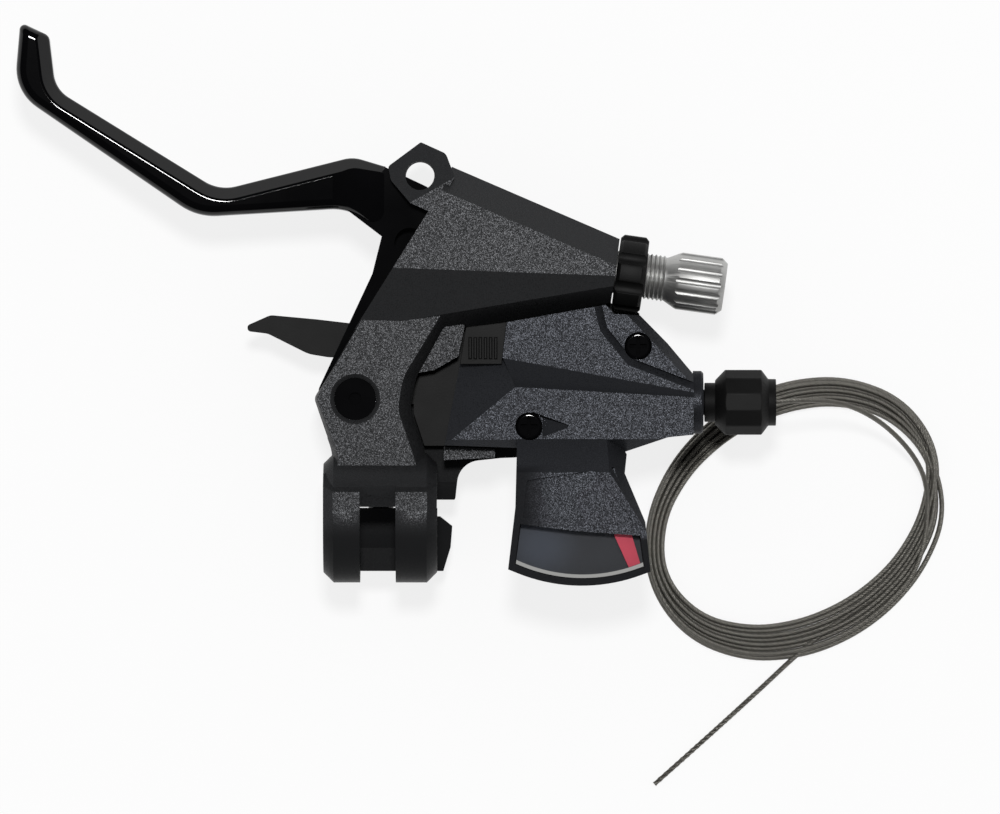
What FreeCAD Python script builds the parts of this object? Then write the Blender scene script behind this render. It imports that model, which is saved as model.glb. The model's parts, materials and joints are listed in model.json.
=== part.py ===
import FreeCAD, Part
import math
import os

V = FreeCAD.Vector

# Plan positions are millimetres from the bar's centre: +X along the bar, +Y forward, +Z up.

# Fits and walls
RUN_CLEAR = 0.05
GAP = 0.3
WALL = 1.6
THIN_WALL = 1.4
BAR_CLEAR = 0.5

# Bar clamp
BAR_RADIUS = 11.1
CLAMP_WALL = 4.1
CLAMP_LEFT = -13.3
CLAMP_RIGHT = 13.4
CLAMP_SPLIT = 2.0
SPLIT_Y = 3.2
RING_BEVEL = 2.4
LUG_THICKNESS = 6.5
LUG_DROP = 11.0
LUG_HALF_WIDTH = 7.5
CLAMP_BOLT_RADIUS = 3.0
CLAMP_HEAD_RADIUS = 5.0
CLAMP_HEAD_HEIGHT = 6.0
CLAMP_NUT_FLATS = 10.0
CLAMP_NUT_HEIGHT = 5.0

# Brake lever and its pivot
PIVOT = (-5.8, 28.0)
ROOT_HALF = 4.0
BLADE_HALF = 5.4
BLADE_ROUND = 2.4
FACET_WIDTH = 3.0
FACET_DEPTH = 2.7
CREST_ROUND = 1.0
CHEEK = 5.0
PIN_RADIUS = 3.0
PIN_CAP_RADIUS = 4.9
PIN_CAP_RIM = 1.0
BUSH_WALL = 1.0
BUSH_LENGTH = 3.2
CABLE_SLOT = 1.8
EYE_RADIUS = 3.4
EYE_CENTRE = (9.4, 80.4)

# Brake cable adjuster
NEST = (7.0, 64.6)
ADJUSTER_AT = (58.9, 57.4)
ADJUSTER_SLOPE = -8.0
THREAD_RADIUS = 5.0
BARREL_RADIUS = 6.75
BARREL_LENGTH = 10.8
BARREL_FLUTES = 16
FLUTE_RADIUS = 0.9
BARREL_NECK = 3.4
LOCK_RADIUS = 9.0
LOCK_WIDTH = 6.7
LOCK_NOTCHES = 8
HOUSING_RADIUS = 2.55
HOUSING_DEPTH = 8.0
INNER_BORE = 1.2

# Shift unit
AXLE = (46.8, 35.0)
AXLE_RADIUS = 3.0
SHELF_TOP = -8.0
SHELF_THICKNESS = 4.0
TRAY_FLOOR = 1.6
PLATE_THICKNESS = 1.5
SPLIT_Z = -3.4
COVER_TOP = 10.8
CEILING = 8.8
DISPLAY_TOP = 18.4
DISPLAY_UNDER = 12.0
NECK_FRONT = 18.6
NEEDLE_PIVOT = (46.8, 23.5)
NEEDLE_THICKNESS = 0.8
NEEDLE_TURN = 20.5
NEEDLE_REACH = 37.0
NEEDLE_TIP_HALF = 1.4
NEEDLE_ARM_HALF = 1.0
NEEDLE_STEP = 13.4
NEEDLE_PIN_RADIUS = 1.2
CABLE_Y = 27.2
DRUM_HEIGHT = 5.4
DRUM_FLANGE = 1.4
RATCHET_THICKNESS = 1.5
RATCHET_RADIUS = 9.0
DRIVE_RADIUS = 8.3
HUB_RADIUS = 4.6
TOOTH_STEP = 30.0
CABLE_RADIUS = 0.6

# Shift cable adjuster
NOSE_END = 73.6
COLLAR_RADIUS = 7.4
COLLAR_WIDTH = 2.4
NECK_RADIUS = 4.6
NECK_LENGTH = 2.8
KNOB_RADIUS = 7.9
KNOB_LENGTH = 12.5
KNOB_SIDES = 12
KNOB_END_RADIUS = 5.5
KNOB_END_WIDTH = 1.8
STEM_RADIUS = 3.0
STEM_LENGTH = 7.0

# Levers of the shift unit
LEVER_PLATE = 3.0
THUMB_STEP = 12.0

# Fasteners
COVER_SCREW_RADIUS = 1.4
COVER_HEAD_RADIUS = 3.2
COVER_HEAD_HEIGHT = 1.8
UNIT_BOLT_RADIUS = 2.0
UNIT_HEAD_RADIUS = 3.5
UNIT_HEAD_HEIGHT = 2.2
REACH_RADIUS = 2.0
REACH_LENGTH = 10.0
REACH_Y = 52.0

# Derived levels and radii
RING_RADIUS = BAR_RADIUS + CLAMP_WALL
CHANNEL_HALF = ROOT_HALF + GAP
BODY_HALF = CHANNEL_HALF + CHEEK
SHELF_UNDER = SHELF_TOP - SHELF_THICKNESS
PLATE_UNDER = SHELF_TOP + TRAY_FLOOR
PLATE_TOP = PLATE_UNDER + PLATE_THICKNESS
RATCHET_UNDER = PLATE_TOP + GAP
DRUM_UNDER = RATCHET_UNDER + RATCHET_THICKNESS
DRUM_TOP = DRUM_UNDER + DRUM_HEIGHT
DRUM_RADIUS = AXLE[1] - CABLE_Y
RELEASE_TOP = -BODY_HALF - GAP
RELEASE_UNDER = RELEASE_TOP - LEVER_PLATE
DRIVE_TOP = RELEASE_UNDER - GAP
DRIVE_UNDER = DRIVE_TOP - RATCHET_THICKNESS
THUMB_TOP = DRIVE_UNDER - GAP
THUMB_UNDER = THUMB_TOP - LEVER_PLATE
AXLE_SLOPE = math.radians(ADJUSTER_SLOPE)
ADJUSTER_DIR = V(math.cos(AXLE_SLOPE), math.sin(AXLE_SLOPE), 0)
KNOB_START = NOSE_END + COLLAR_WIDTH + NECK_LENGTH
KNOB_END = KNOB_START + KNOB_LENGTH + KNOB_END_WIDTH


def wire(points):
    """A closed outline from (x, y) corners; a third value rounds that corner."""
    count = len(points)
    starts = []
    ends = []
    arcs = []
    for i, point in enumerate(points):
        here = V(point[0], point[1], 0)
        if len(point) == 2:
            starts.append(here)
            ends.append(here)
            arcs.append(None)
            continue
        before = V(*points[i - 1][:2], 0) - here
        after = V(*points[(i + 1) % count][:2], 0) - here
        before.normalize()
        after.normalize()
        half = before.getAngle(after) / 2
        back = point[2] / math.tan(half)
        middle = before + after
        middle.normalize()
        centre = here + middle * (point[2] / math.sin(half))
        first = here + before * back
        last = here + after * back
        mid = centre - middle * point[2]
        starts.append(first)
        ends.append(last)
        arcs.append(Part.Arc(first, mid, last).toShape())
    edges = []
    for i in range(count):
        if arcs[i]:
            edges.append(arcs[i])
        following = starts[(i + 1) % count]
        if ends[i].distanceToPoint(following) > 1e-6:
            edges.append(Part.makeLine(ends[i], following))
    return Part.Wire(edges)


def prism(points, low, high):
    """A straight block over a plan outline, from one height to another."""
    face = Part.Face(wire(points))
    face.translate(V(0, 0, low))
    return face.extrude(V(0, 0, high - low))


def rod(radius, start, end):
    """A round bar between two points."""
    along = end - start
    return Part.makeCylinder(radius, along.Length, start, along)


def upright(radius, at, low, high):
    """A round bar standing at a plan position."""
    return rod(radius, V(at[0], at[1], low), V(at[0], at[1], high))


def turned(profile, base, direction):
    """A solid of revolution from (distance along, radius) corners about an axis."""
    points = [V(p[0], p[1], 0) for p in profile]
    face = Part.Face(Part.makePolygon(points + [points[0]]))
    solid = face.revolve(V(0, 0, 0), V(1, 0, 0), 360)
    solid.Placement = FreeCAD.Placement(base, FreeCAD.Rotation(V(1, 0, 0), direction))
    return solid


def below_plane(shape, first, second, third):
    """What is left of a shape under the plane through three points."""
    a = V(*first)
    across = V(*second) - a
    normal = across.cross(V(*third) - a)
    if normal.z < 0:
        normal = normal * -1
    block = Part.makeBox(600, 600, 200, V(-300, -300, 0))
    block.Placement = FreeCAD.Placement(a, FreeCAD.Rotation(V(0, 0, 1), normal))
    return shape.cut(block)


def at_axle(height):
    return V(AXLE[0], AXLE[1], height)


def at_pivot(height):
    return V(PIVOT[0], PIVOT[1], height)


def on_cable(x):
    """A point on the shift cable's straight line through the housing."""
    return V(x, CABLE_Y, 0)


def on_adjuster(distance):
    """A point on the brake adjuster's axis, measured from the lock ring's middle."""
    return V(ADJUSTER_AT[0], ADJUSTER_AT[1], 0) + ADJUSTER_DIR * distance


def hexagon(flats, low, high, centre):
    radius = flats / math.sqrt(3)
    points = []
    for i in range(6):
        angle = math.radians(60 * i)
        points.append((centre[0] + radius * math.cos(angle), centre[1] + radius * math.sin(angle)))
    return prism(points, low, high)


def polar(centre, radius, degrees):
    angle = math.radians(degrees)
    return (centre[0] + radius * math.cos(angle), centre[1] + radius * math.sin(angle))


# Plan outlines of the brake side
WING = [(16.9, 82.6), (56.35, 65.6), (54.25, 50.6), (30.4, 46.3), (16.5, 44.4), (-6.8, 43.0), (14.5, 76.9)]
ARM = [
    (16.7, 48.0), (8.4, 33.0, 12), (7.0, 25.4, 9), (10.4, 15.6, 12), (CLAMP_RIGHT, 7.0), (CLAMP_RIGHT, 0),
    (CLAMP_LEFT, 0), (-11.0, 14.8, 10), (-15.6, 28.2, 2), (-4.2, 47.0),
]
ARM_TOP = [
    (14.8, 48.6), (5.4, 33.0, 12), (4.2, 25.4, 9), (7.6, 15.6, 12), (10.2, 7.0), (10.2, 0),
    (CLAMP_LEFT + 1.8, 0), (-9.6, 14.8, 10), (-14.8, 28.2, 2), (-3.9, 47.2),
]
TAB = [
    (1.9, 82.6, 1), (9.6, 88.3, 0.5), (15.5, 85.6, 2),
    (17.6, 80.0), (12.4, 71.6), (7.1, 74.0), (2.6, 79.3, 1),
]
SHELF = [
    (9.0, 3.9), (17.6, 3.9, 1), (18.6, 13.0, 5.5),
    (31.6, 14.4, 1), (33.4, 30.6, 2), (14.0, 30.6), (10.0, 27.0),
    (1.0, 27.0), (1.0, 17.0),
]
WEB = [(8.0, 34.0), (12.7, 34.8), (18.4, 38.0), (19.9, 45.4), (16.5, 46.0), (12.0, 42.0)]
WEB_TOP = 2.0
LIP = [(15.0, 13.6), (27.0, 14.2), (27.0, 16.3), (15.0, 16.8)]
LIP_TOP = 3.0
EAR = [(6.0, 0.2), (14.0, 0.2), (16.9, -2.1), (16.5, -7.1), (14.8, -12.7), (6.0, -12.7)]
CHANNEL = [
    (-40, 18.9), (1.0, 18.9, 2), (3.0, 29.4, 4),
    (13.6, 61.0, 4), (15.6, 71.0), (17.4, 96.0), (-40, 96.0),
]
BLADE_FRONT = [(-6.4, 84.9, 8), (-37.8, 77.0, 9.5), (-76.3, 100.8, 7.4)]
BLADE_REAR = [
    (-84.6, 116.6, 1.2), (-86.0, 100.2, 11), (-43.0, 70.7, 14),
    (-7.5, 72.8, 12), (1.2, 66.6, 3), (1.3, 82.6),
]
BLADE_TIP = (-77.8, 113.4, 2)
BLADE = BLADE_REAR + BLADE_FRONT + [BLADE_TIP]
FACET_START = (9.0, 80.3)
FACET_END = (-78.4, 118.4)
ROOT = [
    (-8.0, 72.6), (0.4, 66.2), (-1.8, 57.4),
    (-14.6, 30.0, 3), (-12.6, 21.6, 5), (1.0, 20.6, 5), (1.9, 30.0, 4),
    (12.4, 61.0, 4), (13.6, 70.0, 3), (11.6, 77.6, 2), (1.4, 82.4),
]
RIDGE_Z = 12.2
PLATE_Z = 8.8


def root_side(y):
    """Where the right side of the lever's root is at a given distance forward."""
    near, far = ROOT[6], ROOT[7]
    return near[0] + (far[0] - near[0]) * (y - near[1]) / (far[1] - near[1])


REACH_FROM = root_side(REACH_Y + REACH_RADIUS) + GAP


def on_reach(distance):
    """A point on the reach screw's axis, measured from its inner end."""
    return V(REACH_FROM + distance, REACH_Y, 0)


def draft_block(low_outline, high_outline, middle, top):
    """A block whose side walls lean in from a lower outline to a smaller upper one."""
    low = wire(low_outline)
    low.translate(V(0, 0, middle))
    high = wire(high_outline)
    high.translate(V(0, 0, top))
    return Part.makeLoft([low, high], True, True)


def bracket_wing():
    body = prism(WING, -BODY_HALF, RIDGE_Z)
    body = below_plane(body, (1.6, 58.8, RIDGE_Z), (53.6, 56.9, RIDGE_Z), (-5.4, 46.6, PLATE_Z))
    body = below_plane(body, WING[0] + (2.0,), WING[1] + (2.0,), WING[-1] + (RIDGE_Z,))
    return below_plane(body, (16.7, 47.9, PLATE_Z), (53.6, 53.2, PLATE_Z), (30.4, 46.3, 0))


def clamp_ring():
    bevel = RING_BEVEL
    profile = [
        (CLAMP_LEFT, BAR_RADIUS), (CLAMP_LEFT, RING_RADIUS - bevel), (CLAMP_LEFT + bevel, RING_RADIUS),
        (CLAMP_RIGHT - bevel, RING_RADIUS), (CLAMP_RIGHT, RING_RADIUS - bevel), (CLAMP_RIGHT, BAR_RADIUS),
    ]
    return turned(profile, V(0, 0, 0), V(1, 0, 0))


def clamp_brow():
    """The flat crown of the clamp, which steps down to the arm in front."""
    crown = 6.2
    foot = 10.6
    top = RING_RADIUS - 0.1
    profile = [(0, BAR_RADIUS), (0, top), (crown, top), (foot, PLATE_Z - 0.5), (foot, 0), (BAR_RADIUS, 0)]
    points = [V(CLAMP_LEFT, y, z) for y, z in profile]
    brow = Part.Face(Part.makePolygon(points + [points[0]])).extrude(V(CLAMP_RIGHT - CLAMP_LEFT, 0, 0))
    low = RING_RADIUS - RING_BEVEL
    for end, inner in ((CLAMP_LEFT, CLAMP_LEFT + RING_BEVEL), (CLAMP_RIGHT, CLAMP_RIGHT - RING_BEVEL)):
        brow = below_plane(brow, (end, 0, low), (end, 10, low), (inner, 0, RING_RADIUS))
    return brow


def clamp_lugs():
    low = -RING_RADIUS - LUG_DROP
    front = clamp_lug(SPLIT_Y + CLAMP_SPLIT / 2, low)
    rear = clamp_lug(SPLIT_Y - CLAMP_SPLIT / 2 - LUG_THICKNESS, low)
    ear = prism(EAR, low + 2, -BAR_RADIUS)
    ear = below_plane(ear, EAR[0] + (-BAR_RADIUS,), EAR[-1] + (-BAR_RADIUS,), EAR[2] + (-RING_RADIUS - 2,))
    return front.fuse([rear, ear])


def clamp_lug(near, low):
    """One of the two lugs that the clamp bolt draws together."""
    corner = V(-LUG_HALF_WIDTH, near, low)
    lug = Part.makeBox(2 * LUG_HALF_WIDTH, LUG_THICKNESS, LUG_DROP + CLAMP_WALL, corner)
    corners = [e for e in lug.Edges if is_along(e, 1) and e.CenterOfMass.z < low + 1]
    return lug.makeFillet(3.0, corners)


def is_along(edge, axis):
    """Whether a straight edge runs along one of the three axes."""
    along = edge.Vertexes[-1].Point - edge.Vertexes[0].Point
    size = [abs(along.x), abs(along.y), abs(along.z)]
    return len(edge.Vertexes) == 2 and size[axis] > 0.999 * along.Length


BOLT_Z = -RING_RADIUS - LUG_DROP / 2
LUG_FRONT = SPLIT_Y + CLAMP_SPLIT / 2 + LUG_THICKNESS
LUG_REAR = SPLIT_Y - CLAMP_SPLIT / 2 - LUG_THICKNESS


def clamp_window():
    """The opening over the bar, with its ramp at the front."""
    left = -4.7
    width = 8.4
    front = 1.9
    opening = Part.makeBox(width, 30, 40, V(left, front - 30, -8.5))
    points = [V(left, 8.2, 13.4), V(left, front, 10.4), V(left, front, 20), V(left, 8.2, 20)]
    ramp = Part.Face(Part.makePolygon(points + [points[0]])).extrude(V(width, 0, 0))
    return opening.fuse(ramp)


def lever_bracket():
    tab = prism(TAB, -BODY_HALF + 1.5, BODY_HALF)
    tab = below_plane(tab, TAB[3] + (BODY_HALF,), TAB[5] + (BODY_HALF,), TAB[1][:2] + (CHANNEL_HALF + 1.6,))
    arm = prism(ARM, -BODY_HALF, 3.0).fuse(draft_block(ARM, ARM_TOP, 3.0, PLATE_Z))
    shelf = prism(SHELF, SHELF_UNDER, SHELF_TOP)
    shelf = shelf.cut(rod(BAR_RADIUS + BAR_CLEAR, V(CLAMP_RIGHT, 0, 0), V(60, 0, 0)))
    web = prism(WEB, -BODY_HALF, WEB_TOP)
    lip = prism(LIP, SHELF_TOP, LIP_TOP)
    body = bracket_wing().fuse([tab, arm, web, shelf, lip, clamp_ring(), clamp_brow(), clamp_lugs()])
    split = Part.makeBox(80, CLAMP_SPLIT, 60, V(-40, SPLIT_Y - CLAMP_SPLIT / 2, -65))
    cuts = [
        rod(BAR_RADIUS, V(-40, 0, 0), V(40, 0, 0)),
        split,
        clamp_window(),
        prism(CHANNEL, -CHANNEL_HALF, CHANNEL_HALF),
        upright(EYE_RADIUS, EYE_CENTRE, -20, 20),
        rod(PIN_RADIUS + RUN_CLEAR, at_pivot(-20), at_pivot(20)),
        rod(PIN_CAP_RADIUS + RUN_CLEAR, at_pivot(PLATE_Z - 2.2), at_pivot(20)),
        Part.makeCone(PIN_CAP_RADIUS, PIN_CAP_RADIUS + PIN_CAP_RIM + 0.2, 1.2, at_pivot(PLATE_Z - 1.0)),
        rod(THREAD_RADIUS + RUN_CLEAR, on_adjuster(-20), on_adjuster(10)),
        rod(2.4, on_adjuster(-48), on_adjuster(-18)),
        rod(CLAMP_BOLT_RADIUS + RUN_CLEAR, V(0, -30, BOLT_Z), V(0, 30, BOLT_Z)),
        cable_slot(),
    ]
    for at in UNIT_BOLTS:
        under = SHELF_UNDER - 1
        cuts.append(upright(UNIT_BOLT_RADIUS + RUN_CLEAR, at, under, SHELF_TOP + 1))
        cuts.append(upright(UNIT_HEAD_RADIUS + RUN_CLEAR, at, under, SHELF_UNDER + UNIT_HEAD_HEIGHT))
    cuts.append(rod(REACH_RADIUS + RUN_CLEAR, on_reach(0), on_reach(REACH_LENGTH)))
    return body.cut(cuts)


def cable_slot():
    """The slit under the cable's path, which the cable is laid in through."""
    slot = Part.makeBox(50, CABLE_SLOT, 20, V(-46, -CABLE_SLOT / 2, -20))
    slot.Placement = FreeCAD.Placement(on_adjuster(0), FreeCAD.Rotation(V(0, 0, 1), ADJUSTER_SLOPE))
    return slot


UNIT_BOLTS = [(22.0, 19.6), (22.0, 26.6)]


def brake_lever():
    blade = prism(BLADE, -BLADE_HALF, BLADE_HALF)
    rims = [e for e in blade.Edges if is_rim(e, BLADE_HALF) and e.CenterOfMass.x < 1]
    blade = blade.makeFillet(BLADE_ROUND, rims)
    blade = blade.cut(front_facet())
    middle = (V(*BLADE_FRONT[1][:2], BLADE_HALF) + V(*BLADE_FRONT[2][:2], BLADE_HALF)) * 0.5
    crest = min(blade.Edges, key=lambda e: (e.CenterOfMass - middle + V(0, FACET_WIDTH, 0)).Length)
    blade = blade.makeFillet(CREST_ROUND, [crest])
    taper = blade_taper()
    blade = blade.cut([taper, taper.mirror(V(0, 0, 0), V(0, 0, 1))])
    root = prism(ROOT, -ROOT_HALF, ROOT_HALF)
    lever = blade.fuse(root)
    nest = rod(3.6, V(NEST[0], NEST[1], -1.5), V(NEST[0], NEST[1], 20))
    cuts = [
        rod(PIN_RADIUS + BUSH_WALL + RUN_CLEAR, at_pivot(-20), at_pivot(20)),
        nest,
        rod(1.2, V(NEST[0], NEST[1], 0), V(NEST[0], NEST[1], 0) + ADJUSTER_DIR * 20),
    ]
    return lever.cut(cuts)


def front_facet():
    """What the slanted face along the blade's front edge takes away."""
    path = Part.Wire(wire([FACET_START] + BLADE_FRONT + [FACET_END]).OrderedEdges[:-1])
    start = V(*FACET_START, BLADE_HALF)
    along = V(*BLADE_FRONT[0][:2], BLADE_HALF) - start
    out = along.cross(V(0, 0, -1)) * -1
    out.normalize()
    fall = V(0, 0, FACET_DEPTH / FACET_WIDTH)
    corners = [
        start + out - fall * (FACET_WIDTH + 1), start - out * (FACET_WIDTH + 1) + fall, start + out + fall,
    ]
    return path.makePipeShell([Part.makePolygon(corners + corners[:1])], True, False)


def blade_taper():
    """What the blade loses on each side where it thins to the root."""
    profile = [(-12.0, BLADE_HALF + 0.1), (6.0, BLADE_HALF + 0.1), (6.0, ROOT_HALF), (1.0, ROOT_HALF)]
    points = [V(x, 55, z) for x, z in profile]
    return Part.Face(Part.makePolygon(points + [points[0]])).extrude(V(0, 45, 0))


def is_rim(edge, half):
    """Whether an edge lies in the top or the bottom plane."""
    heights = [abs(abs(v.Z) - half) for v in edge.Vertexes]
    return max(heights) < 1e-6


def pivot_pin():
    pin = rod(PIN_RADIUS, at_pivot(-BODY_HALF), at_pivot(PLATE_Z - 1.2))
    cap = rod(PIN_CAP_RADIUS, at_pivot(PLATE_Z - 2.2), at_pivot(PLATE_Z - 1.2))
    return pin.fuse(cap).cut(rod(1.5, at_pivot(PLATE_Z - 2.0), at_pivot(PLATE_Z)))


def pivot_bushes():
    both = []
    for low in (-ROOT_HALF, ROOT_HALF - BUSH_LENGTH):
        sleeve = rod(PIN_RADIUS + BUSH_WALL, at_pivot(low), at_pivot(low + BUSH_LENGTH))
        both.append(sleeve.cut(rod(PIN_RADIUS + RUN_CLEAR, at_pivot(-20), at_pivot(20))))
    return Part.makeCompound(both)


def reach_screw():
    screw = rod(REACH_RADIUS, V(REACH_FROM, REACH_Y, 0), V(REACH_FROM + REACH_LENGTH, REACH_Y, 0))
    return screw.cut(rod(0.9, on_reach(REACH_LENGTH - 2.5), on_reach(REACH_LENGTH)))


def clamp_bolt():
    shank = rod(CLAMP_BOLT_RADIUS, V(0, LUG_REAR - CLAMP_NUT_HEIGHT - 1, BOLT_Z), V(0, LUG_FRONT, BOLT_Z))
    head = rod(CLAMP_HEAD_RADIUS, V(0, LUG_FRONT, BOLT_Z), V(0, LUG_FRONT + CLAMP_HEAD_HEIGHT, BOLT_Z))
    socket = hexagon(5.0, 0, 4.0, (0, 0))
    socket.Placement = FreeCAD.Placement(
        V(0, LUG_FRONT + CLAMP_HEAD_HEIGHT, BOLT_Z), FreeCAD.Rotation(V(0, 0, 1), V(0, -1, 0))
    )
    return shank.fuse(head).cut(socket)


def clamp_nut():
    nut = hexagon(CLAMP_NUT_FLATS, 0, CLAMP_NUT_HEIGHT, (0, 0))
    nut = nut.cut(rod(CLAMP_BOLT_RADIUS + RUN_CLEAR, V(0, 0, -1), V(0, 0, 20)))
    nut.Placement = FreeCAD.Placement(V(0, LUG_REAR, BOLT_Z), FreeCAD.Rotation(V(0, 0, 1), V(0, -1, 0)))
    return nut


BARREL_FROM = LOCK_WIDTH / 2 + 4.8
BARREL_END = BARREL_FROM + BARREL_NECK + BARREL_LENGTH


def brake_barrel_adjuster():
    profile = [
        (-16, 0), (-16, THREAD_RADIUS),
        (BARREL_FROM, THREAD_RADIUS), (BARREL_FROM + BARREL_NECK, BARREL_RADIUS),
        (BARREL_END - 1.4, BARREL_RADIUS), (BARREL_END, BARREL_RADIUS - 1.2), (BARREL_END, 0),
    ]
    body = turned(profile, on_adjuster(0), ADJUSTER_DIR)
    cuts = [
        rod(INNER_BORE, on_adjuster(-20), on_adjuster(BARREL_END + 1)),
        rod(HOUSING_RADIUS, on_adjuster(BARREL_END - HOUSING_DEPTH), on_adjuster(BARREL_END + 1)),
    ]
    across = V(-ADJUSTER_DIR.y, ADJUSTER_DIR.x, 0)
    for i in range(BARREL_FLUTES):
        angle = 2 * math.pi * i / BARREL_FLUTES
        out = across * math.cos(angle) + V(0, 0, math.sin(angle))
        offset = out * (BARREL_RADIUS + 0.5)
        start = on_adjuster(BARREL_FROM + BARREL_NECK - 1.2) + offset
        cuts.append(rod(FLUTE_RADIUS, start, on_adjuster(BARREL_END + 1) + offset))
    return body.cut(cuts)


def adjuster_lock_ring():
    half = LOCK_WIDTH / 2
    edge = 0.8
    profile = [
        (-half, THREAD_RADIUS + RUN_CLEAR), (-half, LOCK_RADIUS - edge), (edge - half, LOCK_RADIUS),
        (half - edge, LOCK_RADIUS), (half, LOCK_RADIUS - edge), (half, THREAD_RADIUS + RUN_CLEAR),
    ]
    ring = turned(profile, on_adjuster(0), ADJUSTER_DIR)
    across = V(-ADJUSTER_DIR.y, ADJUSTER_DIR.x, 0)
    cuts = []
    for i in range(LOCK_NOTCHES):
        angle = 2 * math.pi * (i + 0.5) / LOCK_NOTCHES
        out = across * math.cos(angle) + V(0, 0, math.sin(angle))
        offset = out * (LOCK_RADIUS + 0.6)
        cuts.append(rod(1.7, on_adjuster(-half - 1) + offset, on_adjuster(half + 1) + offset))
    return ring.cut(cuts)


# Plan outlines of the shift unit
POD = [
    (20.4, 44.8), (15.2, 17.1), (57.6, 15.6),
    (62.9, 17.4, 5), (67.6, 19.0, 4), (NOSE_END, 19.6), (NOSE_END, 33.8),
    (67.5, 41.1, 3), (62.0, 46.7), (61.1, 47.6), (55.0, 47.9), (53.0, 50.1), (30.4, 46.1),
]
CAVITY = [
    (22.2, 42.4), (17.6, 19.0), (57.6, 17.6), (66.0, 20.6),
    (66.0, 35.0), (60.6, 45.2), (54.2, 46.2), (31.0, 43.6),
]
TRAY_SIDE = [
    (18.0, 17.0), (10.4, 17.0), (7.9, 24.6), (7.9, 27.0),
    (9.3, 33.6), (12.6, 34.4), (18.2, 37.6), (20.0, 40.0),
]
TONGUE = [
    (32.2, NECK_FRONT), (31.8, 2.6), (30.1, -11.9),
    (46.8, -18.6, 40), (63.4, -12.4), (62.2, -0.8), (57.0, 11.6, 4),
    (58.4, NECK_FRONT),
]
PANEL = [(34.4, 8.9, 1), (50.4, 11.3, 1), (60.0, -1.6, 1), (45.8, -1.4), (33.6, 0.2)]
POCKET = [(32.9, -1.3), (45.8, -2.9), (61.0, -4.0), (62.0, -11.2), (46.8, -16.9, 38), (31.7, -10.6)]
NEEDLE_ROOM = [(38.6, 12.0), (55.0, 12.0), (60.8, -5.0), (32.9, -5.0)]
BAND = [(28.9, 37.6), (80.0, 28.4), (80.0, 28.0), (31.8, 30.8)]
ISLAND_LEFT = [(50.0, 50.6), (51.7, 43.9), (58.2, 35.9), (76.0, 29.2)]
ISLAND_RIGHT = [(51.9, 50.6), (53.4, 44.6), (59.2, 37.5), (76.0, 31.0)]
TEARDROP = [(32.0, 21.6, 2.8), (34.6, 25.4, 2.6), (45.2, 21.6, 0.5), (34.6, 17.8, 2.6)]
RIB_CORNER = [(20.2, 44.85), (18.8, 36.2), (28.6, 36.2), (29.8, 46.05)]
SCREWS = [(60.6, 40.4), (35.0, 21.6)]
RIB_MIDDLE = (24.3, 40.5)
RIB_FLOOR = COVER_TOP - 2.2
COVER_FACETS = [
    ((15.2, 18.4, COVER_TOP), (66.0, 18.6, COVER_TOP), (40.0, 15.6, 6.0)),
    ((62.0, 46.7, 6.0), (NOSE_END, 34.4, 6.0), (60.4, 45.2, COVER_TOP)),
]
SIDE = [(31.8, 30.8), (28.9, 37.6), (10.0, 37.6), (10.0, 12.8)]
SIDE_DROP = 4.5
BAND_DEPTH = 1.7
ISLAND_DEPTH = 1.2
TIP_DEPTH = 0.6
POCKET_FLOOR = DISPLAY_UNDER + 1.2
NEEDLE_LOW = 7.4
NEEDLE_HIGH = 14.6
LENS_UNDER = 16.4
SCREW_SEAT = COVER_TOP - 2.6
TONGUE_FACET = [(52.7, 12.7, DISPLAY_TOP), (62.0, -2.4, DISPLAY_TOP), (59.6, 7.2, DISPLAY_UNDER)]


def shift_top_cover():
    body = prism(POD, SPLIT_Z, COVER_TOP)
    body = faceted(body, 0).cut(side_cut(0))
    body = body.cut(band_cut())
    body = body.cut(island_cuts())
    body = body.cut(prism(RIB_CORNER, RIB_FLOOR, COVER_TOP + 5))
    tongue = prism(TONGUE, DISPLAY_UNDER, DISPLAY_TOP).fuse(neck())
    tongue = tongue.cut(rod(BAR_RADIUS + BAR_CLEAR, V(0, 0, 0), V(90, 0, 0)))
    tongue = under_slope(tongue, 0)
    tongue = below_plane(tongue, *TONGUE_FACET)
    tongue = tongue.cut(prism(PANEL, DISPLAY_TOP - 0.7, DISPLAY_TOP + 5))
    body = body.cut(cover_room())
    body = body.fuse([tongue] + [screw_boss(at) for at in SCREWS])
    cuts = [
        prism(POCKET, POCKET_FLOOR, DISPLAY_TOP + 5),
        prism(NEEDLE_ROOM, NEEDLE_HIGH - 0.5, LENS_UNDER),
        under_slope(needle_step_room(), THIN_WALL),
        rod(STEM_RADIUS + RUN_CLEAR, on_cable(NOSE_END - STEM_LENGTH - 1), on_cable(NOSE_END + 1)),
        rod(1.0, on_cable(60), on_cable(NOSE_END)),
        teardrop_cut(TEARDROP, 0),
        rod(NEEDLE_PIN_RADIUS + RUN_CLEAR, needle_at(NEEDLE_LOW), needle_at(CEILING + 1.0)),
    ]
    for at in SCREWS:
        cuts.append(rod(COVER_SCREW_RADIUS + RUN_CLEAR, V(at[0], at[1], SPLIT_Z - 1), V(at[0], at[1], 20)))
        cuts.append(rod(COVER_HEAD_RADIUS + RUN_CLEAR, V(at[0], at[1], SCREW_SEAT), V(at[0], at[1], 20)))
    return body.cut(cuts)


def band_cut():
    """The slanted facet across the cover, which ends in a small step at its rear edge."""
    low = COVER_TOP - BAND_DEPTH
    return slant_cut(BAND, BAND[0] + (COVER_TOP,), BAND[1] + (COVER_TOP,), BAND[3] + (low,))


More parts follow.
